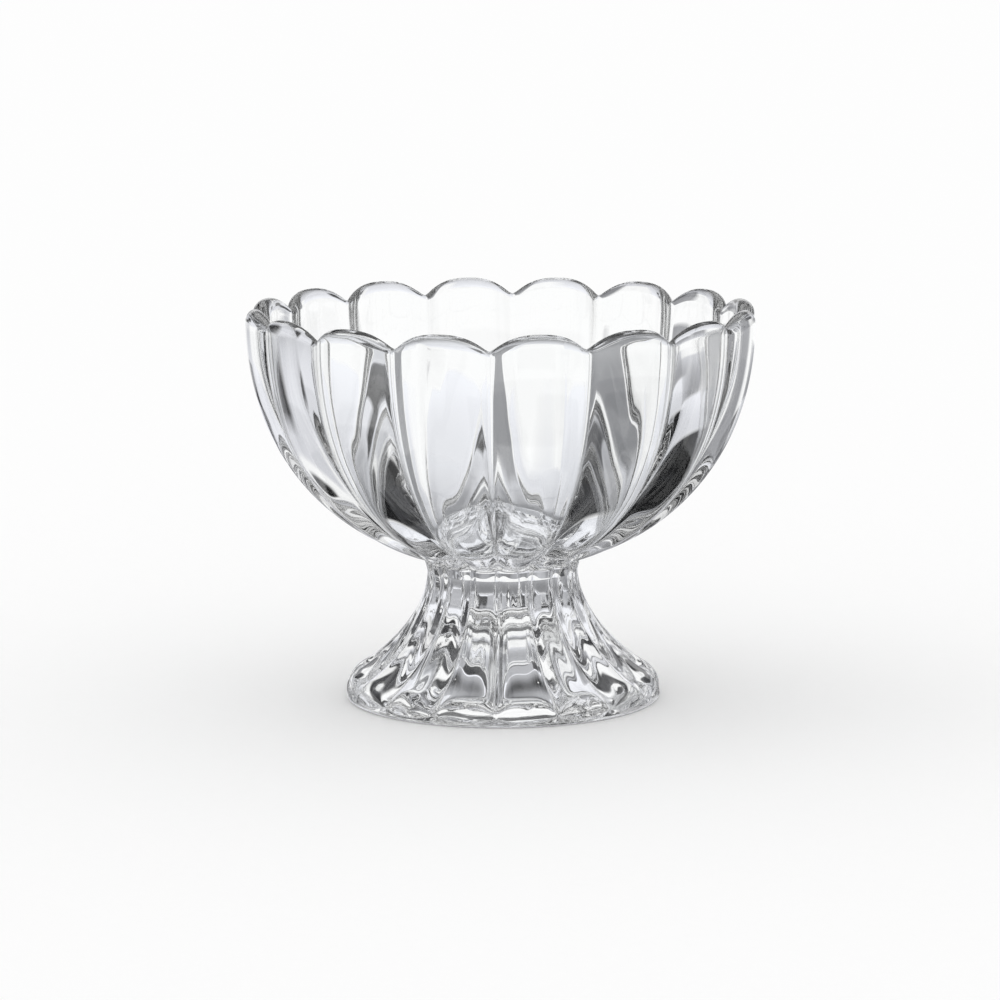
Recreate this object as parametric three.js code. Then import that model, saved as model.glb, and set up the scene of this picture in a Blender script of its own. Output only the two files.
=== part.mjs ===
// A footed ice cream cup of clear pressed glass: a bowl of standing petals on a hollow fluted foot.
// A thin wafer of glass joins the bowl to the foot, and the three are fused hot into one rigid cup.
// Sizes are in millimetres. The origin is the middle of the base, and +Z points up.

import * as THREE from "three";

// Each petal of the bowl stands over one flute of the foot
const PETAL_COUNT = 16;

// The three pieces, stacked from the table up
const FOOT_HEIGHT = 25.8;
const WAFER_HEIGHT = 1.7;
const BOWL_HEIGHT = 51.5; // to the tips of the petals

// Wafer, which widens slightly upwards and carries the flutes of the foot on into the bowl
const WAFER_BOTTOM_RADIUS = 15.1;
const WAFER_TOP_RADIUS = 15.6;
const NECK_FLUTE_DEPTH = 0.65;

// A petal's crest runs down its middle, and a groove parts it from the next petal
const PETAL_FLATNESS = 2.5; // 2 is a round petal, and more is flatter with tighter grooves
const FLUTE_FLATNESS = 3.5; // the same on the foot

// Bowl, outside
const RIM_RADIUS = 50.9; // to a petal's crest
const NOTCH_DEPTH = 3.3; // from a petal's tip down to the notch between two petals
const GROOVE_DEPTH_AT_RIM = 2.55;
const GROOVE_DEPTH_AT_BELLY_FOOT = 1.2;
const BELLY_FOOT_REACH = 1.6; // how far the belly stands out past the wafer where the petals begin
const BELLY_FOOT_HEIGHT = 1.4; // the same place, above the wafer
const BELLY_FOOT_SLOPE = 16.6; // degrees
const BELLY_ROUNDNESS = 0.539; // 0.552 is a quarter of an ellipse

// Bowl, inside
const CREST_WALL = 4.3; // thickness at the rim, on a petal's crest
const GROOVE_WALL = 2; // thickness at the rim, in a groove
const CREST_LIP = 2.5; // height of the rounded edge, on a petal's crest
const GROOVE_LIP = 1.0; // height of the rounded edge, in a notch
const FLOOR_THICKNESS = 3.8;
const INSIDE_ROUNDNESS = 0.55;

// Foot, outside
const BASE_RADIUS = 31.5;
const BASE_RING_HEIGHT = 1.85; // plain ring under the toes of the flutes
const BASE_EDGE_ROUND = 0.8;
const TOE_OVERHANG = 2.6; // how far the base reaches out past the top of a toe
const TOE_HEIGHT = 5.85;
const TOE_SLOPE = 32; // degrees, where the toe runs into the flare
const FLUTE_DEPTH_AT_RING = 0.6;
const FLUTE_DEPTH_AT_TOE = 1.75;
const FLARE_FOOT_PULL = 0.57; // share of the flare's run over which it leaves the toe
const FLARE_NECK_PULL = 0.33; // share of the flare's rise over which it stands upright at the neck

// Foot, inside
const BASE_RING_WIDTH = 5.6; // flat ring that the cup stands on, with the edge rounding
const HOLLOW_ROOF = 9.2; // glass between the hollow's top and the wafer
const HOLLOW_TOP_PULL = 0.36; // share of the hollow's radius over which its roof is flat
const HOLLOW_WAIST_RUN = 0.5; // where the hollow's side bends out, as shares of its radius and height
const HOLLOW_WAIST_RISE = 0.28;

// Finish: clear glass, a little duller where it touched the mould and brightest at the hot joint
const GLASS_COLOUR = 0xf2f5f5;
const GLASS_OPACITY = 0.35;
const FOOT_ROUGHNESS = 0.05;
const BOWL_ROUGHNESS = 0.04;
const WAFER_ROUGHNESS = 0.03;

// Fineness of the facets
const COLUMNS_PER_PETAL = 8;
const BELLY_STEPS = 8;
const INSIDE_STEPS = 8;
const LIP_STEPS = 6;
const FLARE_STEPS = 7;
const HOLLOW_STEPS = 7;
const TOE_STEPS = 3;
const EDGE_STEPS = 2;

const at = (radius, height) => new THREE.Vector2(radius, height);
const tangent = (degrees) => Math.tan(THREE.MathUtils.degToRad(degrees));

// The points along a run of curves, each curve given with its number of steps
function outline(start, runs) {
  const points = [start];
  for (const [curve, steps] of runs) {
    points.push(...curve.getPoints(steps).slice(1));
  }
  return points;
}

const straight = (from, to) => [new THREE.LineCurve(from, to), 1];
const bend = (from, pull, to, steps) => [new THREE.QuadraticBezierCurve(from, pull, to), steps];
const sweep = (from, pullOut, pullIn, to, steps) => [
  new THREE.CubicBezierCurve(from, pullOut, pullIn, to),
  steps,
];

// How full a petal is across its width: nothing in the grooves, and 1 on the crest
function fullness(column, flatness) {
  const across = (column % COLUMNS_PER_PETAL) / COLUMNS_PER_PETAL;
  return 1 - Math.abs(2 * across - 1) ** flatness;
}

// A turned body whose outline swells from the groove outline to the crest outline and back, once a petal
function petalled(groove, crest, flatnessAt) {
  const columns = PETAL_COUNT * COLUMNS_PER_PETAL;
  const rows = crest.length;
  const geometry = new THREE.LatheGeometry(crest, columns);
  const position = geometry.getAttribute("position");
  for (let index = 0; index < position.count; index++) {
    const column = Math.floor(index / rows);
    const row = index % rows;
    const turn = (column / columns) * 2 * Math.PI;
    const full = fullness(column, flatnessAt(crest[row].y));
    const point = at(0, 0).lerpVectors(groove[row], crest[row], full);
    position.setXYZ(index, point.x * Math.sin(turn), point.y, point.x * Math.cos(turn));
  }
  return geometry.rotateX(Math.PI / 2);
}

// The bowl's outline, from under the floor, up the outside, over the lip and down the inside
function bowlOutline(shape) {
  const seat = at(WAFER_TOP_RADIUS - shape.seatDepth, 0);
  const bellyFoot = shape.bellyFoot;
  const outerShoulder = at(shape.rimRadius, shape.tipHeight - shape.lip);
  const innerShoulder = at(shape.rimRadius - shape.wall, outerShoulder.y);
  const floor = at(0, FLOOR_THICKNESS);

  const undersideRise = (bellyFoot.x - seat.x) * tangent(BELLY_FOOT_SLOPE);
  const underside = at(seat.x, bellyFoot.y - undersideRise);
  const bellyRun = BELLY_ROUNDNESS * (outerShoulder.x - bellyFoot.x);
  const bellyRise = BELLY_ROUNDNESS * (outerShoulder.y - bellyFoot.y);
  const insideRun = INSIDE_ROUNDNESS * innerShoulder.x;
  const insideRise = INSIDE_ROUNDNESS * (innerShoulder.y - floor.y);
  const lipMiddle = (outerShoulder.x + innerShoulder.x) / 2;
  const lip = new THREE.EllipseCurve(lipMiddle, outerShoulder.y, shape.wall / 2, shape.lip, 0, Math.PI);

  return outline(at(0, 0), [
    straight(at(0, 0), seat),
    bend(seat, underside, bellyFoot, EDGE_STEPS),
    sweep(
      bellyFoot,
      at(bellyFoot.x + bellyRun, bellyFoot.y + bellyRun * tangent(BELLY_FOOT_SLOPE)),
      at(outerShoulder.x, outerShoulder.y - bellyRise),
      outerShoulder,
      BELLY_STEPS,
    ),
    [lip, LIP_STEPS],
    sweep(
      innerShoulder,
      at(innerShoulder.x, innerShoulder.y - insideRise),
      at(insideRun, floor.y),
      floor,
      INSIDE_STEPS,
    ),
  ]);
}

function makeBowl() {
  const crestFoot = at(WAFER_TOP_RADIUS + BELLY_FOOT_REACH, BELLY_FOOT_HEIGHT);
  const crest = bowlOutline({
    bellyFoot: crestFoot,
    rimRadius: RIM_RADIUS,
    tipHeight: BOWL_HEIGHT,
    wall: CREST_WALL,
    lip: CREST_LIP,
    seatDepth: 0,
  });
  const groove = bowlOutline({
    bellyFoot: at(crestFoot.x, crestFoot.y + GROOVE_DEPTH_AT_BELLY_FOOT),
    rimRadius: RIM_RADIUS - GROOVE_DEPTH_AT_RIM,
    tipHeight: BOWL_HEIGHT - NOTCH_DEPTH,
    wall: GROOVE_WALL,
    lip: GROOVE_LIP,
    seatDepth: NECK_FLUTE_DEPTH,
  });
  return petalled(groove, crest, () => PETAL_FLATNESS);
}

const waferOutline = (depth) => [
  at(0, 0),
  at(WAFER_BOTTOM_RADIUS - depth, 0),
  at(WAFER_TOP_RADIUS - depth, WAFER_HEIGHT),
  at(0, WAFER_HEIGHT),
];

// The wafer's flutes match the foot's below and the bowl's above
function makeWafer() {
  const flatnessAt = (height) =>
    THREE.MathUtils.mapLinear(height, 0, WAFER_HEIGHT, FLUTE_FLATNESS, PETAL_FLATNESS);
  return petalled(waferOutline(NECK_FLUTE_DEPTH), waferOutline(0), flatnessAt);
}

// The foot's outline, from the top of the hollow, down to the base, out round the toe and up the flare
function footOutline(shape) {
  const hollowTop = at(0, FOOT_HEIGHT - HOLLOW_ROOF);
  const hollowEdge = at(BASE_RADIUS - BASE_RING_WIDTH, 0);
  const baseEdge = at(BASE_RADIUS - BASE_EDGE_ROUND, 0);
  const ringFoot = at(BASE_RADIUS, BASE_EDGE_ROUND);
  const ringTop = at(BASE_RADIUS - shape.ringDepth, BASE_RING_HEIGHT);
  const toe = shape.toe;
  const neck = at(WAFER_BOTTOM_RADIUS - shape.neckDepth, FOOT_HEIGHT);

  const toeCorner = at(ringTop.x, toe.y - (ringTop.x - toe.x) * tangent(TOE_SLOPE));
  const flareRun = FLARE_FOOT_PULL * (toe.x - neck.x);
  const flareRise = FLARE_NECK_PULL * (neck.y - toe.y);

  return outline(hollowTop, [
    sweep(
      hollowTop,
      at(HOLLOW_TOP_PULL * hollowEdge.x, hollowTop.y),
      at(HOLLOW_WAIST_RUN * hollowEdge.x, HOLLOW_WAIST_RISE * hollowTop.y),
      hollowEdge,
      HOLLOW_STEPS,
    ),
    straight(hollowEdge, baseEdge),
    bend(baseEdge, at(BASE_RADIUS, 0), ringFoot, EDGE_STEPS),
    straight(ringFoot, ringTop),
    bend(ringTop, toeCorner, toe, TOE_STEPS),
    sweep(
      toe,
      at(toe.x - flareRun, toe.y + flareRun * tangent(TOE_SLOPE)),
      at(neck.x, neck.y - flareRise),
      neck,
      FLARE_STEPS,
    ),
    straight(neck, at(0, FOOT_HEIGHT)),
  ]);
}

function makeFoot() {
  const crestToe = at(BASE_RADIUS - TOE_OVERHANG, TOE_HEIGHT);
  const toeAngle = THREE.MathUtils.degToRad(TOE_SLOPE);
  const inward = at(-Math.sin(toeAngle), -Math.cos(toeAngle)).multiplyScalar(FLUTE_DEPTH_AT_TOE);
  const crest = footOutline({ toe: crestToe, ringDepth: 0, neckDepth: 0 });
  const groove = footOutline({
    toe: crestToe.clone().add(inward),
    ringDepth: FLUTE_DEPTH_AT_RING,
    neckDepth: NECK_FLUTE_DEPTH,
  });
  return petalled(groove, crest, () => FLUTE_FLATNESS);
}

const pressedGlass = (roughness) =>
  new THREE.MeshStandardMaterial({
    color: GLASS_COLOUR,
    roughness,
    metalness: 0,
    transparent: true,
    opacity: GLASS_OPACITY,
  });

function piece(name, geometry, height, roughness) {
  const mesh = new THREE.Mesh(geometry, pressedGlass(roughness));
  mesh.name = name;
  mesh.position.z = height;
  return mesh;
}

const cup = new THREE.Group();
cup.add(piece("foot", makeFoot(), 0, FOOT_ROUGHNESS));
cup.add(piece("wafer", makeWafer(), FOOT_HEIGHT, WAFER_ROUGHNESS));
cup.add(piece("bowl", makeBowl(), FOOT_HEIGHT + WAFER_HEIGHT, BOWL_ROUGHNESS));

export default cup;
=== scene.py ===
# %% [markdown]
# # An ice cream cup of clear pressed glass
# The cup is three pieces of glass fused while hot: a bowl of sixteen standing petals, a thin wafer under
# it, and a hollow fluted foot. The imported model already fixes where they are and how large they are. This
# lesson loads it, gives each piece a finer surface, and then works on what makes glass look like glass:
# the way in which it bends and mirrors the room around it.

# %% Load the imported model
import math

import bpy
import numpy as np
from mathutils import Matrix, Vector, noise


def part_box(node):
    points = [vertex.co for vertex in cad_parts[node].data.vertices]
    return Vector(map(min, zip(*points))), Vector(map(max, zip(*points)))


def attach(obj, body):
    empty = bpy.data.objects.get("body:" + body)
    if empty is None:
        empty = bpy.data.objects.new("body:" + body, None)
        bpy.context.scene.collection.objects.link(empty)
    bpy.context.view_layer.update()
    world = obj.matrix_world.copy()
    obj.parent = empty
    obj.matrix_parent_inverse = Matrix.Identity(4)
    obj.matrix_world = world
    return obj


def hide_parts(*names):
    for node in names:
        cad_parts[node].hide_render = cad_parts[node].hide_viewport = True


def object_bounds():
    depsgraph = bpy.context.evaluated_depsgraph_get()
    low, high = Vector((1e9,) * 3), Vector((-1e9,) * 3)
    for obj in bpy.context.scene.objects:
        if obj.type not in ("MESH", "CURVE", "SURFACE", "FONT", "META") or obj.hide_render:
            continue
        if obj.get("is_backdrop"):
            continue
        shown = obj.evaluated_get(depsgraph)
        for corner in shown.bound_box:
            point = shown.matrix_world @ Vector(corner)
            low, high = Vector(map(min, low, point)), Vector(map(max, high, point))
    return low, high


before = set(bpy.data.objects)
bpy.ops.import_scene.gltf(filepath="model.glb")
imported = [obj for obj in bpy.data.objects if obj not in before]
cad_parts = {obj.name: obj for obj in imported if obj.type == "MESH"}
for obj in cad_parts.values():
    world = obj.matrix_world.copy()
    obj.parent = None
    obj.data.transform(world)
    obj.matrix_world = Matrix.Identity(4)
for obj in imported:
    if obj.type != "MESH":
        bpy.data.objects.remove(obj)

MM = 0.001  # in metres
cad_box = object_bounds()
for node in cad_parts:
    low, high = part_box(node)
    print(node, "stands from", round(low.z / MM, 2), "to", round(high.z / MM, 2), "mm")

# %% [markdown]
# ## Sizes
# Blender works in metres and a glassmaker thinks in millimetres, so every size below is written in
# millimetres and turned into metres when a mesh is made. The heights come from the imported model. The rest
# repeats the outlines that the solids were turned from, because a faceted solid can't say what curve it
# came from.

# %% Heights from the model
FOOT_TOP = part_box("foot")[1].z / MM
WAFER_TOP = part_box("wafer")[1].z / MM
PETAL_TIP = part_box("bowl")[1].z / MM
PETALS = 16
print("foot, wafer and petals end at", [round(top, 2) for top in (FOOT_TOP, WAFER_TOP, PETAL_TIP)], "mm")

# %% [markdown]
# ## Curves for the outlines
# A pressed piece is turned from a few smooth curves: a belly, a lip, a flare. A Bezier curve gives each
# of them from two ends and one or two pulls, and the same small function serves for a straight line too.
# A curve object in Blender could do this as well, but plain points are easier to swell into petals later.

# %% Bezier curves of any degree
def bezier(*points, steps):
    share = np.linspace(0.0, 1.0, steps + 1)[:, None]
    degree = len(points) - 1
    weights = [math.comb(degree, k) * share**k * (1 - share) ** (degree - k) for k in range(degree + 1)]
    return sum(weight * np.array(point, float) for weight, point in zip(weights, points))


def tangent(degrees):
    return math.tan(math.radians(degrees))


print("a quarter bend:", np.round(bezier((1, 0), (1, 1), (0, 1), steps=2), 2).tolist())

# %% [markdown]
# ## Petals
# Round the cup, the outline swells from a groove to a petal's crest and back, sixteen times. A petal is a
# round pillow, so it rises steeply beside the groove and lies flat along the crest. Pressed glass can't
# hold a sharp inside corner: the mould's ridge is rounded, and so the bottom of each groove is a small
# fillet.

# %% How full a petal is across its width
COLUMNS_PER_PETAL = 26
GROOVE_FILLET = 0.05  # as a share of half a petal's width
PETAL_FLATNESS = 2.5  # 2 would be a plain parabola
FLUTE_FLATNESS = 3.5

columns = PETALS * COLUMNS_PER_PETAL
turns = np.arange(columns) / columns * 2 * math.pi
across = (np.arange(columns) % COLUMNS_PER_PETAL) / COLUMNS_PER_PETAL * 2 - 1


def fullness(flatness):
    """Nothing in the grooves, where across is -1, and 1 on the crest, where it is 0."""
    climb = 1 - np.abs(across)
    eased = np.sqrt(climb**2 + GROOVE_FILLET**2) - GROOVE_FILLET
    eased /= math.sqrt(1 + GROOVE_FILLET**2) - GROOVE_FILLET
    return 1 - (1 - eased) ** flatness


print(columns, "columns; a petal across:", np.round(fullness(PETAL_FLATNESS)[:14:3], 2).tolist())

# %% [markdown]
# ## Ripples
# Pressed glass is fire polished: a flame melts the skin until it shines, and the skin sets with soft
# ripples. They are only hundredths of a millimetre deep, but glass bends every line seen through it, so
# they show. Two sizes of noise move each point along its normal. A bump map could do this too, but light
# that crosses the glass several times shows the difference. The ripples die away beside the welds and at
# the table, so that the pieces still meet and the cup stands flat, and at the lip, which the flame leaves
# smoothest.

# %% Where the skin lies calm
RIPPLES = ((8.0, 0.02), (4.0, 0.003))  # length and depth
CALM = 3.0  # how far from a weld the ripples are back to full depth
CALM_ROWS = 6  # the same beside the lip, in rows of the mesh
STILL = Vector((3.1, 5.7, 8.3))  # where in the noise the cup stands


def calmness(grid, zones):
    """1 where the skin may ripple, and 0 at the table, the welds and the lip."""
    calm = np.ones(grid.shape[:2])
    for level in (0.0, FOOT_TOP, WAFER_TOP):
        calm *= np.clip(np.abs(grid[..., 2] - level) / CALM, 0, 1)
    lip_rows = [row for row, zone in enumerate(zones) if zone == "lip"]
    if lip_rows:
        rows = np.arange(len(grid))
        away = np.maximum(lip_rows[0] - rows, rows - lip_rows[-1] - 1)
        calm *= np.clip(away / CALM_ROWS, 0, 1)[:, None]
    calm[0] = calm[-1] = 0
    return calm


print("ripples of", [length for length, _ in RIPPLES], "mm, calm within", CALM, "mm of a weld")


# %% Ripples on a grid of points
def ripple(grid, zones):
    along = np.gradient(grid, axis=0)
    around = np.roll(grid, -1, axis=1) - np.roll(grid, 1, axis=1)
    normal = np.cross(around, along)
    size = np.linalg.norm(normal, axis=-1, keepdims=True)
    normal = np.divide(normal, size, out=np.zeros_like(normal), where=size > 0)
    wave = np.zeros(grid.shape[:2])
    for length, depth in RIPPLES:
        spots = (grid / length).reshape(-1, 3)
        wave += depth * np.array([noise.noise(STILL + Vector(spot)) for spot in spots]).reshape(wave.shape)
    wave *= calmness(grid, zones)
    print("ripples up to", round(float(np.abs(wave).max()), 3), "mm deep")
    return grid + normal * wave[..., None]


# %% [markdown]
# ## From two outlines to one mesh
# Each piece is given by two outlines with the same number of points, one through the grooves and one
# through the crests. Every column of the mesh is a blend of the two. An outline is a list of spans, and
# each span names the zone of glass that it makes, such as the outside, the lip or the weld, so that
# finishes can find it later. A Screw modifier would turn one outline, but it can't blend two, so the grid
# is made in code.

# %% Points of a petalled body
def rows_of(spans):
    points = [spans[0][1][:1]] + [span[1:] for _, span in spans]
    zones = [zone for zone, span in spans for _ in span[1:]]
    return np.concatenate(points), zones


def petal_grid(groove_spans, crest_spans, flatness):
    """Rows of points round the cup, flatness being that of the lowest and of the highest row."""
    groove, zones = rows_of(groove_spans)
    crest, _ = rows_of(crest_spans)
    heights = crest[:, 1]
    swell = fullness(np.interp(heights, (heights.min(), heights.max()), flatness)[:, None])
    blend = groove[:, None] + (crest - groove)[:, None] * swell[..., None]
    radius, height = blend[..., 0], blend[..., 1]
    grid = np.stack([radius * np.sin(turns), -radius * np.cos(turns), height], axis=-1)
    return ripple(grid, zones), zones


print("each row of a piece has", columns, "points")

# %% [markdown]
# ### Closing the mesh
# An outline starts and ends on the axis, so its first and last rows shrink to single points. Fans of
# triangles close the body there, and quads fill the rest. Their corners run so that every face looks
# outward, because the renderer takes the side of a face as the side on which the air is.

# %% Faces of a petalled body
def petal_faces(last, zones):
    def corner(row, column):
        return 1 + (row - 1) * columns + column % columns

    end = corner(last, 0)
    faces, face_zones = [], []
    for column in range(columns):
        ahead = column + 1
        faces.append((0, corner(1, ahead), corner(1, column)))
        faces.append((end, corner(last - 1, column), corner(last - 1, ahead)))
        face_zones += [zones[0], zones[-1]]
    for row in range(1, last - 1):
        for column in range(columns):
            low = corner(row, column), corner(row, column + 1)
            high = corner(row + 1, column + 1), corner(row + 1, column)
            faces.append(low + high)
            face_zones.append(zones[row])
    return faces, face_zones


def petalled_piece(name, groove_spans, crest_spans, flatness):
    grid, zones = petal_grid(groove_spans, crest_spans, flatness)
    last = len(grid) - 1
    points = np.concatenate([grid[0, :1], grid[1:last].reshape(-1, 3), grid[last, :1]]) * MM
    faces, face_zones = petal_faces(last, zones)
    mesh = bpy.data.meshes.new(name)
    mesh.from_pydata(points.tolist(), [], faces)
    mesh.polygons.foreach_set("use_smooth", [True] * len(faces))
    piece = bpy.data.objects.new(name, mesh)
    bpy.context.scene.collection.objects.link(piece)
    print(name, len(points), "points,", len(faces), "faces, zones", sorted(set(zones)))
    return piece, face_zones


print("a body of 4 rows would have", len(petal_faces(4, ["outside"] * 4)[0]), "faces")

# %% [markdown]
# ## Bowl
# The belly is almost a quarter of an ellipse. Beside the wafer it starts with a small hollow fillet, and
# at the top it ends in a thick, fire-polished lip. The lip dips into a notch at every groove, where the
# wall is thinner too. The inside is smoother than the outside, because the plunger that presses it has
# only shallow petals. A sculptor would push and pull a sphere; here two outlines say it all, and the same
# function draws both.

# %% Bowl sizes
RIM_RADIUS = 50.9  # to a petal's crest
WAFER_TOP_RADIUS = 15.6
NECK_FLUTE_DEPTH = 0.65
NOTCH_DEPTH = 3.3  # from a petal's tip down to the notch beside it
GROOVE_DEPTH_AT_RIM = 2.55
GROOVE_DEPTH_AT_BELLY_FOOT = 1.2
BELLY_FOOT_REACH, BELLY_FOOT_HEIGHT = 1.6, 1.4  # where the petals begin, past the wafer and above it
BELLY_FOOT_SLOPE = 16.6  # degrees
BELLY_ROUNDNESS = 0.539  # 0.552 would be a quarter of an ellipse
CREST_WALL, GROOVE_WALL = 4.3, 2.0
CREST_LIP, GROOVE_LIP = 2.5, 1.0
FLOOR_THICKNESS = 3.8
INSIDE_ROUNDNESS = 0.55
FILLET_STEPS, BELLY_STEPS, LIP_STEPS, INSIDE_STEPS = 10, 100, 26, 100

bowl_floor = WAFER_TOP + FLOOR_THICKNESS
mouth = 2 * (RIM_RADIUS - CREST_WALL)
print("mouth", round(mouth, 1), "mm wide, bowl", round(PETAL_TIP - bowl_floor, 1), "mm deep")


# %% Bowl outlines
def bowl_spans(seat_radius, foot, rim, tip, wall, lip):
    shoulder = np.array((rim, tip - lip))
    inner = shoulder - (wall, 0)
    seat = (seat_radius, WAFER_TOP)
    underside = (seat_radius, foot[1] - (foot[0] - seat_radius) * tangent(BELLY_FOOT_SLOPE))
    run, rise = BELLY_ROUNDNESS * (shoulder - foot)
    belly_pull = foot + (run, run * tangent(BELLY_FOOT_SLOPE))
    over = np.linspace(0, math.pi, LIP_STEPS + 1)
    arch = np.stack([np.cos(over) * wall / 2 + rim - wall / 2, np.sin(over) * lip + shoulder[1]], axis=-1)
    wall_pull = inner - (0, INSIDE_ROUNDNESS * (inner[1] - bowl_floor))
    floor_pull = (INSIDE_ROUNDNESS * inner[0], bowl_floor)
    return [
        ("weld", bezier((0, WAFER_TOP), seat, steps=1)),
        ("outside", bezier(seat, underside, foot, steps=FILLET_STEPS)),
        ("outside", bezier(foot, belly_pull, shoulder - (0, rise), shoulder, steps=BELLY_STEPS)),
        ("lip", arch),
        ("inside", bezier(inner, wall_pull, floor_pull, (0, bowl_floor), steps=INSIDE_STEPS)),
    ]


crest_foot = np.array((WAFER_TOP_RADIUS + BELLY_FOOT_REACH, WAFER_TOP + BELLY_FOOT_HEIGHT))
groove_foot = crest_foot + (0, GROOVE_DEPTH_AT_BELLY_FOOT)
groove_rim = (RIM_RADIUS - GROOVE_DEPTH_AT_RIM, PETAL_TIP - NOTCH_DEPTH)
bowl, bowl_zones = petalled_piece(
    "glass_bowl",
    bowl_spans(WAFER_TOP_RADIUS - NECK_FLUTE_DEPTH, groove_foot, *groove_rim, GROOVE_WALL, GROOVE_LIP),
    bowl_spans(WAFER_TOP_RADIUS, crest_foot, RIM_RADIUS, PETAL_TIP, CREST_WALL, CREST_LIP),
    (PETAL_FLATNESS, PETAL_FLATNESS),
)

# %% [markdown]
# ## Wafer
# The wafer is the small button of glass that was dropped between bowl and foot, and the press squeezed it
# into the same sixteen flutes. Its side is straight, so each outline is three lines. Downward its flutes
# are as flat as those of the foot and upward as round as the petals, so that the collar runs through
# without a step.

# %% Wafer
WAFER_BOTTOM_RADIUS = 15.1
WAFER_STEPS = 6


def wafer_spans(depth):
    bottom = (WAFER_BOTTOM_RADIUS - depth, FOOT_TOP)
    top = (WAFER_TOP_RADIUS - depth, WAFER_TOP)
    return [
        ("weld", bezier((0, FOOT_TOP), bottom, steps=1)),
        ("outside", bezier(bottom, top, steps=WAFER_STEPS)),
        ("weld", bezier(top, (0, WAFER_TOP), steps=1)),
    ]


wafer, wafer_zones = petalled_piece(
    "glass_wafer", wafer_spans(NECK_FLUTE_DEPTH), wafer_spans(0), (FLUTE_FLATNESS, PETAL_FLATNESS)
)

# %% [markdown]
# ## Foot
# The foot flares like a trumpet into sixteen rounded toes, which stand on a plain ring. Its flutes are
# flatter than the petals, almost facets. It is hollow underneath, where a second plunger pressed it:
# pebbled in its upper part and smooth along the skirt. The groove outline is the crest outline pushed
# inward at right angles to the slope of the toe, so the flutes look equally deep from the side and from
# above.

# %% Foot sizes
BASE_RADIUS = 31.5
BASE_RING_HEIGHT = 1.85
BASE_RING_WIDTH = 5.6
BASE_EDGE_ROUND = 0.8
TOE_OVERHANG = 2.6  # how far the base reaches out past the top of a toe
TOE_HEIGHT = 5.85
TOE_SLOPE = 32  # degrees
FLUTE_DEPTH_AT_RING, FLUTE_DEPTH_AT_TOE = 0.6, 1.75
FLARE_FOOT_PULL, FLARE_NECK_PULL = 0.57, 0.33
HOLLOW_ROOF = 9.2  # glass between the hollow and the wafer
HOLLOW_TOP_PULL = 0.36
HOLLOW_WAIST = (0.5, 0.28)
HOLLOW_STEPS, PEBBLED_STEPS = 70, 42  # down the whole hollow, and down its pebbled part
BASE_STEPS, EDGE_STEPS, RING_STEPS, TOE_STEPS, FLARE_STEPS = 6, 6, 3, 14, 46

hollow_top = FOOT_TOP - HOLLOW_ROOF
print("foot", 2 * BASE_RADIUS, "mm wide, hollow", round(hollow_top, 1), "mm deep")


# %% Foot outlines
def foot_spans(toe, ring_depth, neck_depth):
    hollow_edge = np.array((BASE_RADIUS - BASE_RING_WIDTH, 0))
    base_edge = (BASE_RADIUS - BASE_EDGE_ROUND, 0)
    ring_foot = (BASE_RADIUS, BASE_EDGE_ROUND)
    ring_top = (BASE_RADIUS - ring_depth, BASE_RING_HEIGHT)
    toe_corner = (ring_top[0], toe[1] - (ring_top[0] - toe[0]) * tangent(TOE_SLOPE))
    neck = np.array((WAFER_BOTTOM_RADIUS - neck_depth, FOOT_TOP))
    run = FLARE_FOOT_PULL * (toe[0] - neck[0])
    rise = FLARE_NECK_PULL * (neck[1] - toe[1])
    roof_pull = (HOLLOW_TOP_PULL * hollow_edge[0], hollow_top)
    waist_pull = (HOLLOW_WAIST[0] * hollow_edge[0], HOLLOW_WAIST[1] * hollow_top)
    flare_pull = (toe[0] - run, toe[1] + run * tangent(TOE_SLOPE))
    hollow = bezier((0, hollow_top), roof_pull, waist_pull, hollow_edge, steps=HOLLOW_STEPS)
    return [
        ("hollow", hollow[: PEBBLED_STEPS + 1]),
        ("skirt", hollow[PEBBLED_STEPS:]),
        ("base", bezier(hollow_edge, base_edge, steps=BASE_STEPS)),
        ("outside", bezier(base_edge, (BASE_RADIUS, 0), ring_foot, steps=EDGE_STEPS)),
        ("outside", bezier(ring_foot, ring_top, steps=RING_STEPS)),
        ("outside", bezier(ring_top, toe_corner, toe, steps=TOE_STEPS)),
        ("outside", bezier(toe, flare_pull, neck - (0, rise), neck, steps=FLARE_STEPS)),
        ("weld", bezier(neck, (0, FOOT_TOP), steps=1)),
    ]


crest_toe = np.array((BASE_RADIUS - TOE_OVERHANG, TOE_HEIGHT))
toe_lean = math.radians(TOE_SLOPE)
groove_toe = crest_toe - np.array((math.sin(toe_lean), math.cos(toe_lean))) * FLUTE_DEPTH_AT_TOE
foot, foot_zones = petalled_piece(
    "glass_foot",
    foot_spans(groove_toe, FLUTE_DEPTH_AT_RING, NECK_FLUTE_DEPTH),
    foot_spans(crest_toe, 0, 0),
    (FLUTE_FLATNESS, FLUTE_FLATNESS),
)

# %% [markdown]
# ## Glass
# Clear glass is a Principled shader with full transmission and no roughness. The index of refraction says
# how strongly it bends light: 1.5 is common soda glass. A Glass shader would look the same, but the
# Principled one travels better to other programs. Molten glass never mixes quite evenly and keeps faint
# cords, so a noise tints it a very little.

# %% New materials, and noise for cords, pebbles and paper
def new_material(name):
    material = bpy.data.materials.new(name)
    material.use_nodes = True
    return material, material.node_tree.nodes, material.node_tree.links


def textured(material, kind, length):
    """A noise in the material whose lumps are as long as length."""
    nodes = material.node_tree.nodes
    lumps = nodes.new("ShaderNodeTexNoise")
    lumps.name = kind
    lumps.inputs["Scale"].default_value = 1 / (length * MM)
    material.node_tree.links.new(nodes.new("ShaderNodeTexCoord").outputs["Object"], lumps.inputs["Vector"])
    return lumps.outputs["Fac"]


print("lumps of 1 mm take a scale of", round(1 / MM))

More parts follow.
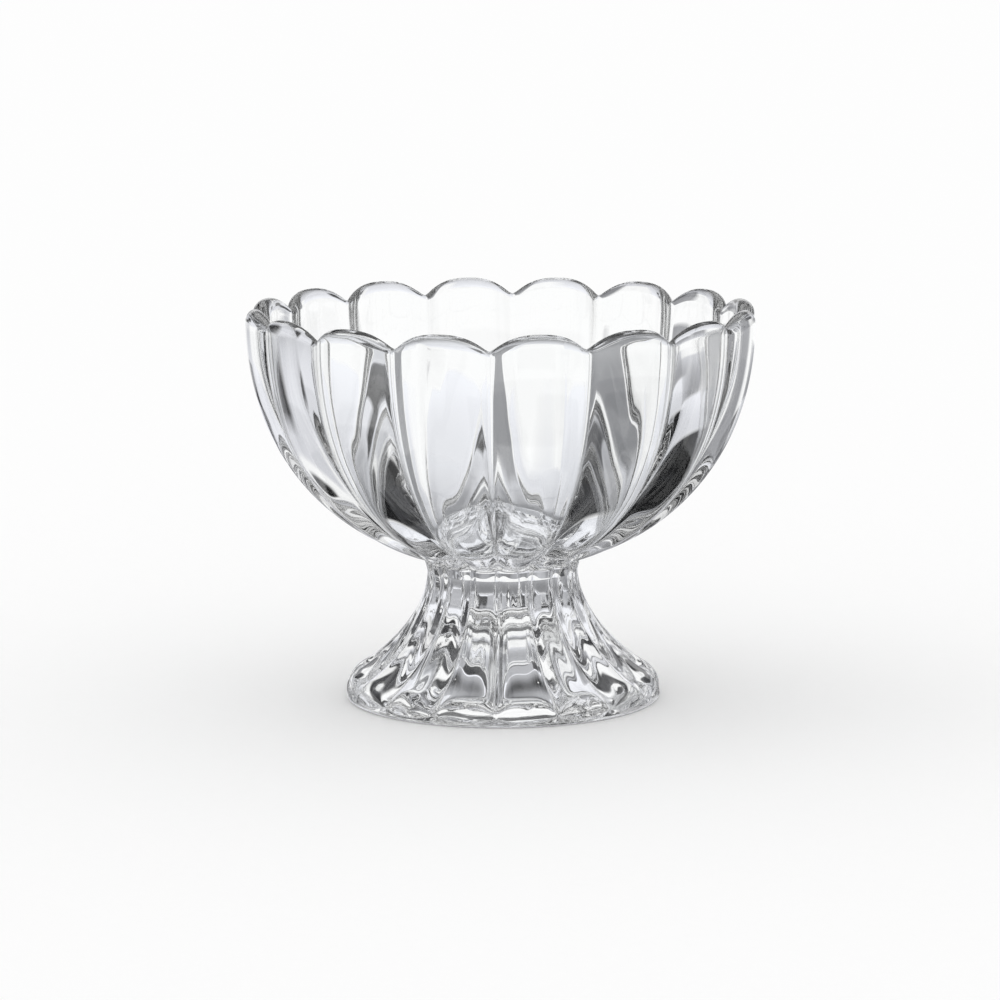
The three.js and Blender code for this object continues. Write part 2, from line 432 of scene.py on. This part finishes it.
# %% [markdown]
# ### Light that goes astray
# At a lip or an edge, light runs down inside the wall from bounce to bounce, and the glass swallows some of
# it on that long way. Here that loss is partly the real one and partly painted shade: the base colour is
# darkened bounce by bounce, which draws the lips and edges darker. It is one reason why the lips of clear
# glass are drawn as dark lines. A volume would do this too, but light could not leave the volume of one
# piece through a weld into the next. So the loss is counted here: two walls, crossed straight, make four
# bounces, and each bounce after those takes more than the one before. The share that a bounce keeps is not
# measured. It was set for each piece by trial, until the tones came near those of the photograph, and is
# smallest in the bowl and the lip.

# %% Loss on the long way, partly painted shade
STRAIGHT_BOUNCES = 4


def painted_bounce_shade(material, share):
    """How much of the light a bounce keeps, as painted shade in the base colour: all of it at first, then
    the share, its square and so on.
    """
    nodes, links = material.node_tree.nodes, material.node_tree.links
    extra, kept = nodes.new("ShaderNodeMath"), nodes.new("ShaderNodeMath")
    extra.operation, kept.operation = "SUBTRACT", "POWER"
    links.new(nodes.new("ShaderNodeLightPath").outputs["Ray Depth"], extra.inputs[0])
    extra.inputs[1].default_value = STRAIGHT_BOUNCES
    kept.inputs[0].default_value = share
    kept.use_clamp = True
    links.new(extra.outputs[0], kept.inputs[1])
    return kept.outputs[0]


print("straight through both walls:", STRAIGHT_BOUNCES, "bounces")

# %% [markdown]
# ### The finishes
# Bowl, lip, wafer and foot are the same clear glass, different only in their cords and in the share of
# light that a bounce keeps. The lip is the smoothest. The hollow of the foot is pebbled by its plunger.
# Pebbles are finer than the mesh, so they are the one thing here that is left to a bump map.

# %% Clear glass with cords
GLASS_IOR = 1.5
GLASS_CLEAR = (0.998, 0.999, 0.999, 1)
GLASS_DEEP = (0.975, 0.985, 0.984, 1)


def pressed_glass(name, cord_length, share):
    material, nodes, links = new_material(name)
    shader = nodes["Principled BSDF"]
    shader.inputs["Roughness"].default_value = 0.0
    shader.inputs["IOR"].default_value = GLASS_IOR
    shader.inputs["Transmission Weight"].default_value = 1.0
    tint = nodes.new("ShaderNodeValToRGB")
    tint.color_ramp.elements[0].color = GLASS_DEEP
    tint.color_ramp.elements[1].color = GLASS_CLEAR
    links.new(textured(material, "cords", cord_length), tint.inputs["Fac"])
    # Painted shade: the base colour is dimmed bounce by bounce, partly standing for a real loss in the
    # glass.
    painted_shade_tint = nodes.new("ShaderNodeVectorMath")
    painted_shade_tint.operation = "SCALE"
    links.new(tint.outputs["Color"], painted_shade_tint.inputs[0])
    links.new(painted_bounce_shade(material, share), painted_shade_tint.inputs["Scale"])
    links.new(painted_shade_tint.outputs["Vector"], shader.inputs["Base Color"])
    print(name, "has cords of", cord_length, "mm")
    return material


bowl_glass = pressed_glass("bowl_glass", cord_length=12.0, share=0.8)
polished_lip = pressed_glass("polished_lip", cord_length=6.0, share=0.8)
wafer_glass = pressed_glass("wafer_glass", cord_length=8.0, share=0.95)
foot_glass = pressed_glass("foot_glass", cord_length=9.0, share=0.99)

# %% Pebbled glass in the hollow
PEBBLE_SIZE = 0.8
PEBBLE_DEPTH = 0.01
pebbled_glass = pressed_glass("pebbled_glass", cord_length=9.0, share=0.99)
nodes, links = pebbled_glass.node_tree.nodes, pebbled_glass.node_tree.links
dents = nodes.new("ShaderNodeBump")
dents.inputs["Distance"].default_value = PEBBLE_DEPTH * MM
links.new(textured(pebbled_glass, "pebbles", PEBBLE_SIZE), dents.inputs["Height"])
links.new(dents.outputs["Normal"], nodes["Principled BSDF"].inputs["Normal"])
print("pebbles of", PEBBLE_SIZE, "mm,", PEBBLE_DEPTH, "mm deep")

# %% [markdown]
# ## Welds
# Where two pieces are fused, light meets no surface. The meshes still have faces there, because each
# piece is a closed body. Those faces get a material without any alpha, so light goes on into the next
# piece as through one lump of glass. The edge round each weld is marked sharp, or smooth shading would
# bend the outside towards the hidden face. One joined mesh would need none of this, but then the pieces
# couldn't be told apart.

# %% Weld faces and finishes
weld, nodes, _ = new_material("hot_weld")
nodes["Principled BSDF"].inputs["Alpha"].default_value = 0.0


def sharpen_welds(mesh, zones):
    sides = {}
    for polygon, zone in zip(mesh.polygons, zones):
        for key in polygon.edge_keys:
            sides.setdefault(key, set()).add(zone == "weld")
    for edge in mesh.edges:
        edge.use_edge_sharp = len(sides[edge.key]) == 2


def dress(piece, zones, node, slot, glass, **special):
    mesh = piece.data
    for finish in (glass, weld, *special.values()):
        mesh.materials.append(finish)
    places = {zone: place for place, zone in enumerate(("weld", *special), 1)}
    mesh.polygons.foreach_set("material_index", [places.get(zone, 0) for zone in zones])
    sharpen_welds(mesh, zones)
    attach(piece, "root")
    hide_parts(node)
    print(piece.name, "is dressed in", [finish.name for finish in mesh.materials])


dress(bowl, bowl_zones, "bowl", "bowl_glass", bowl_glass, lip=polished_lip)
dress(wafer, wafer_zones, "wafer", "wafer_glass", wafer_glass)
dress(foot, foot_zones, "foot", "foot_glass", foot_glass, hollow=pebbled_glass)

# %% [markdown]
# ## Camera
# The photograph looks a little down on the cup from far off: the mouth is a flat ellipse, and near and
# far petals are almost equally wide. So the camera stands 820 mm away with a long lens, nine and a half
# degrees up. A turn of under three degrees puts a groove just left of the middle, and a quarter of a
# degree of roll sets the mouth as slightly askew as it is there. The small shift centres the cup without
# turning the camera.

# %% Camera
CAMERA_TURN, CAMERA_RISE, CAMERA_ROLL = 2.8, 9.5, -0.25  # degrees
CAMERA_DISTANCE = 820.0
CAMERA_AIM = 39.5  # height of the point that it looks at
PICTURE = 1000  # pixels across, and the next two sizes are in pixels too
FOCAL_LENGTH = 4100.0
SHIFT_ACROSS, SHIFT_UP = -2.3, 0.8
NEAREST = 10.0
camera_data = bpy.data.cameras.new("photo_camera")
camera = bpy.data.objects.new("photo_camera", camera_data)
bpy.context.scene.collection.objects.link(camera)
turn, rise = math.radians(CAMERA_TURN), math.radians(CAMERA_RISE)
back = Vector((math.cos(rise) * math.sin(turn), -math.cos(rise) * math.cos(turn), math.sin(rise)))
aim = Vector((0, 0, CAMERA_AIM * MM))
camera.location = aim + back * CAMERA_DISTANCE * MM
level_look = (-back).to_track_quat("-Z", "Y").to_matrix()
camera.rotation_euler = (level_look @ Matrix.Rotation(math.radians(CAMERA_ROLL), 3, "Z")).to_euler()
camera_data.lens = camera_data.sensor_width * FOCAL_LENGTH / PICTURE
camera_data.shift_x = SHIFT_ACROSS / PICTURE
camera_data.shift_y = SHIFT_UP / PICTURE
camera_data.clip_start = NEAREST * MM
bpy.context.scene.camera = camera
print("camera", CAMERA_DISTANCE, "mm away with a lens of", round(camera_data.lens, 1), "mm")

# %% [markdown]
# ## White room
# The photograph has a plain white ground. A pale floor lies under the cup, and a white world closes the
# room. Reflections and views through the glass always meet plain white on the floor, which the Light Path
# node picks for them. The camera sees the paper as the light falls on it, so the cup keeps its shadow.
# Glass passes light through many surfaces, and the usual twelve bounces would leave black holes in it.

# %% White world
GLASS_BOUNCES, MIRROR_BOUNCES = 32, 12
scene = bpy.context.scene
scene.view_settings.view_transform = "Standard"
scene.cycles.max_bounces = GLASS_BOUNCES
scene.cycles.transmission_bounces = GLASS_BOUNCES
scene.cycles.transparent_max_bounces = GLASS_BOUNCES
scene.cycles.glossy_bounces = MIRROR_BOUNCES

white_room = bpy.data.worlds.new("white_room")
scene.world = white_room
white_room.use_nodes = True
background = white_room.node_tree.nodes["Background"]
background.inputs["Color"].default_value = (1, 1, 1, 1)
background.inputs["Strength"].default_value = 1.0
print("light may cross", GLASS_BOUNCES, "surfaces")

# %% [markdown]
# ### Floor
# The floor is pale paper with a faint grain. It lies a tenth of a millimetre below the foot: a real cup
# touches the table only in a few spots, and the breath of air between keeps the mirror in the glass's
# underside alive.

# %% Pale paper floor
FLOOR_HALF = 8.0  # metres
FLOOR_LEVEL = -0.1
PAPER_GRAIN = 2.5
PAPER_SHADE, PAPER_LIGHT = (0.98, 0.98, 0.98, 1), (0.99, 0.99, 0.99, 1)
pale_paper, nodes, links = new_material("pale_paper")
nodes.clear()
grain = nodes.new("ShaderNodeValToRGB")
grain.color_ramp.elements[0].color = PAPER_SHADE
grain.color_ramp.elements[1].color = PAPER_LIGHT
links.new(textured(pale_paper, "grain", PAPER_GRAIN), grain.inputs["Fac"])
matt = nodes.new("ShaderNodeBsdfDiffuse")
links.new(grain.outputs["Color"], matt.inputs["Color"])
print("paper from", PAPER_SHADE[0], "to", PAPER_LIGHT[0])

# %% White for rays through the glass
white = nodes.new("ShaderNodeEmission")
path = nodes.new("ShaderNodeLightPath")
from_glass = nodes.new("ShaderNodeMath")
from_glass.operation = "MAXIMUM"
links.new(path.outputs["Is Glossy Ray"], from_glass.inputs[0])
links.new(path.outputs["Is Transmission Ray"], from_glass.inputs[1])
choice = nodes.new("ShaderNodeMixShader")
links.new(from_glass.outputs[0], choice.inputs[0])
links.new(matt.outputs[0], choice.inputs[1])
links.new(white.outputs[0], choice.inputs[2])
links.new(choice.outputs[0], nodes.new("ShaderNodeOutputMaterial").inputs["Surface"])


def sheet(name, corners, faces, material):
    mesh = bpy.data.meshes.new(name)
    mesh.from_pydata(corners, [], faces)
    mesh.materials.append(material)
    thing = bpy.data.objects.new(name, mesh)
    scene.collection.objects.link(thing)
    thing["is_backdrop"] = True
    return thing


square = ((-1, -1), (1, -1), (1, 1), (-1, 1))
corners = [(x * FLOOR_HALF, y * FLOOR_HALF, FLOOR_LEVEL * MM) for x, y in square]
sheet("floor", corners, [(0, 1, 2, 3)], pale_paper)
print("floor", 2 * FLOOR_HALF, "m wide, at", FLOOR_LEVEL, "mm")

# %% [markdown]
# ## Cards
# In an all-white room clear glass would vanish. A photographer lays and stands dark and grey cards round
# it, just outside the picture, and the glass draws itself with their bent images. What stood round this cup
# is unknown. The cards here were placed and toned by trial, until the fields in the glass came near those
# of the photograph. They are hidden from the camera and cast no shadow, so only reflections and views
# through the glass meet them. Their paper is a cool grey, and how dark and how solid it is comes with each
# point. The dark cards under the foot are painted shade of the table beneath the cup.

# %% Card paper
CARD_COLOUR = (0.94, 0.95, 1.0, 1)
card_paper, nodes, links = new_material("card_paper")
nodes.clear()
card_paper.cycles.emission_sampling = "NONE"
tone, cover = nodes.new("ShaderNodeAttribute"), nodes.new("ShaderNodeAttribute")
tone.attribute_name, cover.attribute_name = "tone", "cover"
glow = nodes.new("ShaderNodeEmission")
glow.inputs["Color"].default_value = CARD_COLOUR
links.new(tone.outputs["Fac"], glow.inputs["Strength"])
soft = nodes.new("ShaderNodeMixShader")
links.new(cover.outputs["Fac"], soft.inputs[0])
links.new(nodes.new("ShaderNodeBsdfTransparent").outputs[0], soft.inputs[1])
links.new(glow.outputs[0], soft.inputs[2])
links.new(soft.outputs[0], nodes.new("ShaderNodeOutputMaterial").inputs["Surface"])
print("card paper", CARD_COLOUR[:3])

# %% [markdown]
# ### Soft edges
# A card is a piece of a ring round the cup. Its bearings are in degrees: 0 is straight behind the cup, 90
# to its right and 180 in front of it. Out of focus a card has no sharp edge, so the sheet is a little
# larger than the card, and its cover fades to nothing over that margin. The tone runs from one end of the
# card to the other.

# %% How a card fades
SOFT_SIDES = 4.0  # degrees over which the sides of a card fade away
SOFT_REACH = 0.06  # the same for the near and far edge of a table card, as a share of its distance
SOFT_RISE = 4.0  # and for the low and high edge of a standing one, in degrees


def ease(share):
    share = np.clip(share, 0, 1)
    return share * share * (3 - 2 * share)


print("a fade, step by step:", [round(float(ease(share)), 2) for share in (0, 0.25, 0.5, 0.75, 1)])

# %% Soft-edged cards
CARD_GRAIN = 2.0  # degrees between the points of a card
CARD_ROWS = 24


def card(name, bearings, ends, fades, tones, place):
    """A sheet over a range of bearings and of reach or rise, whose edges fade away."""
    whole_ring = bearings[1] - bearings[0] >= 360
    margin = 0 if whole_ring else SOFT_SIDES / 2
    count = max(2, round((bearings[1] - bearings[0] + 2 * margin) / CARD_GRAIN))
    bearing = np.linspace(bearings[0] - margin, bearings[1] + margin, count + 1)
    way = np.linspace(ends[0] - fades[0] / 2, ends[1] + fades[1] / 2, CARD_ROWS + 1)
    from_side = np.minimum(bearing - bearings[0], bearings[1] - bearing) / SOFT_SIDES
    from_end = np.minimum((way - ends[0]) / fades[0], (ends[1] - way) / fades[1])
    cover = np.outer(ease(0.5 + from_end), np.ones(count + 1) if whole_ring else ease(0.5 + from_side))
    along = ease((way - ends[0]) / (ends[1] - ends[0]))
    tone = np.outer(tones[0] + (tones[1] - tones[0]) * along, np.ones(count + 1))
    corners = [place(math.radians(turn), reach) for reach in way for turn in bearing]
    starts = [row * (count + 1) + k for row in range(CARD_ROWS) for k in range(count)]
    faces = [(start, start + 1, start + count + 2, start + count + 1) for start in starts]
    thing = sheet(name, corners, faces, card_paper)
    for label, values in (("tone", tone), ("cover", cover)):
        thing.data.attributes.new(label, "FLOAT", "POINT").data.foreach_set("value", values.ravel())
    thing.visible_camera = thing.visible_diffuse = thing.visible_shadow = False
    return thing


print("a card has a point every", CARD_GRAIN, "degrees, in", CARD_ROWS + 1, "rows")

# %% [markdown]
# ### Lying and standing
# Most of what the bowl shows is the table behind and beside it, so most cards lie flat. They share the
# breath of air between floor and foot, each a hair above the one before, so a later card covers an
# earlier one. The others stand 700 mm away, and their rise is the angle at which the cup sees them.

# %% Table cards and standing cards
CARD_LIFT = 0.003
STAND_REACH = 700.0
card_heights = {}


def table_card(name, bearings, reach, tones):
    card_heights[name] = FLOOR_LEVEL + CARD_LIFT * (len(card_heights) + 1)

    def place(turn, way):
        return (way * MM * math.sin(turn), way * MM * math.cos(turn), card_heights[name] * MM)

    return card(name, bearings, reach, [SOFT_REACH * end for end in reach], tones, place)


def standing_card(name, bearings, rise, tones):
    def place(turn, way):
        height = STAND_REACH * tangent(way) + CAMERA_AIM
        return (STAND_REACH * MM * math.sin(turn), STAND_REACH * MM * math.cos(turn), height * MM)

    return card(name, bearings, rise, (SOFT_RISE, SOFT_RISE), tones, place)


print("cards lie", CARD_LIFT, "mm apart")

# %% [markdown]
# ### Under and in front of the foot
# The dark fields above the toes are the table under the hollow, mirrored by the skin of the flutes, so a
# dark card lies in the middle: painted shade of the table where the cup shades it. The rest of the table
# under the foot stays white and keeps the neck clear, apart from dark cards at the left and right and a
# grey one at the back, which paint the same shade and darken single toes. A strip that runs from dark to
# white lies in front of the foot.

# %% Cards under the foot
foot_cards_with_painted_shade = [
    table_card("card_under_foot", bearings=(0, 360), reach=(12, 32), tones=(1.0, 1.0)),
    # Painted shade: dark cards on the table under the cup, where the cup shades it.
    table_card("shade_card_under_middle", bearings=(0, 360), reach=(0.5, 14), tones=(0.0, 0.5)),
    table_card("shade_card_under_back", bearings=(-10, 35), reach=(15, 27), tones=(0.5, 0.5)),
    table_card("shade_card_under_left", bearings=(-45, -10), reach=(16, 32), tones=(0.05, 0.1)),
    table_card("shade_card_under_right", bearings=(35, 90), reach=(23, 33), tones=(0.05, 0.05)),
    table_card("card_front", bearings=(120, 235), reach=(33, 62), tones=(0.25, 1.0)),
]
print(len(foot_cards_with_painted_shade), "cards under and before the foot")

# %% [markdown]
# ### Behind the cup
# Straight behind, the table runs from dark beside the foot to light far off, which shades the two middle
# petals downward. A grey strip to the right makes the grey panel of the next petal and the wedge beside
# the middle groove. Two short dark cards to the left make the dark leaf in the petal on that side.

# %% Cards behind the cup
back_cards = [
    table_card("card_sweep", bearings=(-30, 0), reach=(140, 320), tones=(0.82, 1.0)),
    table_card("card_behind", bearings=(-45, 60), reach=(33, 150), tones=(0.22, 0.8)),
    table_card("card_behind_right", bearings=(15, 36), reach=(110, 500), tones=(0.3, 0.35)),
    table_card("card_panel_right", bearings=(28, 45), reach=(110, 160), tones=(0.15, 0.15)),
    table_card("card_behind_left", bearings=(-75, -30), reach=(120, 600), tones=(0.85, 0.6)),
    table_card("card_leaf", bearings=(-38, -28), reach=(130, 200), tones=(0.02, 0.1)),
    table_card("card_leaf_top", bearings=(-46, -34), reach=(180, 285), tones=(0.02, 0.15)),
]
print(len(back_cards), "cards behind the cup")

# %% [markdown]
# ### Beside the cup
# Two black cards close to the foot give the black ends of the side petals, with a pale pane above each of
# them. Farther off, narrow cards draw the dark and grey streaks along the edges of the bowl.

# %% Cards beside the cup
side_cards = [
    table_card("card_left", bearings=(-125, -50), reach=(33, 75), tones=(0.01, 0.01)),
    table_card("card_left_front", bearings=(-125, -95), reach=(72, 100), tones=(0.02, 0.02)),
    table_card("card_pane_left", bearings=(-90, -50), reach=(85, 150), tones=(0.75, 0.75)),
    table_card("card_far_left", bearings=(-92, -74), reach=(105, 775), tones=(0.05, 0.02)),
    table_card("card_right", bearings=(45, 120), reach=(33, 104), tones=(0.01, 0.01)),
    table_card("card_pane_right", bearings=(45, 95), reach=(104, 165), tones=(0.75, 0.95)),
    table_card("card_far_right", bearings=(45, 75), reach=(165, 340), tones=(0.35, 0.7)),
    table_card("card_right_front", bearings=(105, 165), reach=(75, 200), tones=(0.02, 0.1)),
]
print(len(side_cards), "cards beside the cup, the top one at", round(max(card_heights.values()), 3), "mm")

# %% [markdown]
# ### Standing cards
# The foot and the rims also see what stands behind the table. A dark horizon and a dark backdrop give the
# foot its long streaks, and flags at both sides and one above the camera line the edges of the lip.

# %% Standing cards
standing_cards = [
    standing_card("horizon", bearings=(-70, 70), rise=(2, 9), tones=(0.1, 0.8)),
    standing_card("backdrop", bearings=(-50, 35), rise=(20, 38), tones=(0.05, 0.05)),
    standing_card("flag_left", bearings=(-60, -30), rise=(0, 26), tones=(0.02, 0.1)),
    standing_card("flag_right", bearings=(30, 60), rise=(-3, 34), tones=(0.02, 0.03)),
    standing_card("flag_right_low", bearings=(20, 85), rise=(-3, 10), tones=(0.02, 0.2)),
    standing_card("flag_far_left", bearings=(-120, -60), rise=(20, 70), tones=(0.02, 0.1)),
    standing_card("flag_front", bearings=(155, 220), rise=(17, 29), tones=(0.1, 0.1)),
]
print(len(standing_cards), "cards stand round the cup")

# %% [markdown]
# ## Does it still fit?
# The finer pieces follow the same outlines as the solids, so the two boxes should agree to a few hundredths
# of a millimetre. The largest difference between them is printed.

# %% Sizes kept for comparison
visual_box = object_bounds()
largest = max(abs(now - was) for new, old in zip(visual_box, cad_box) for now, was in zip(new, old))
print("the boxes differ by", round(largest / MM, 3), "mm at most")
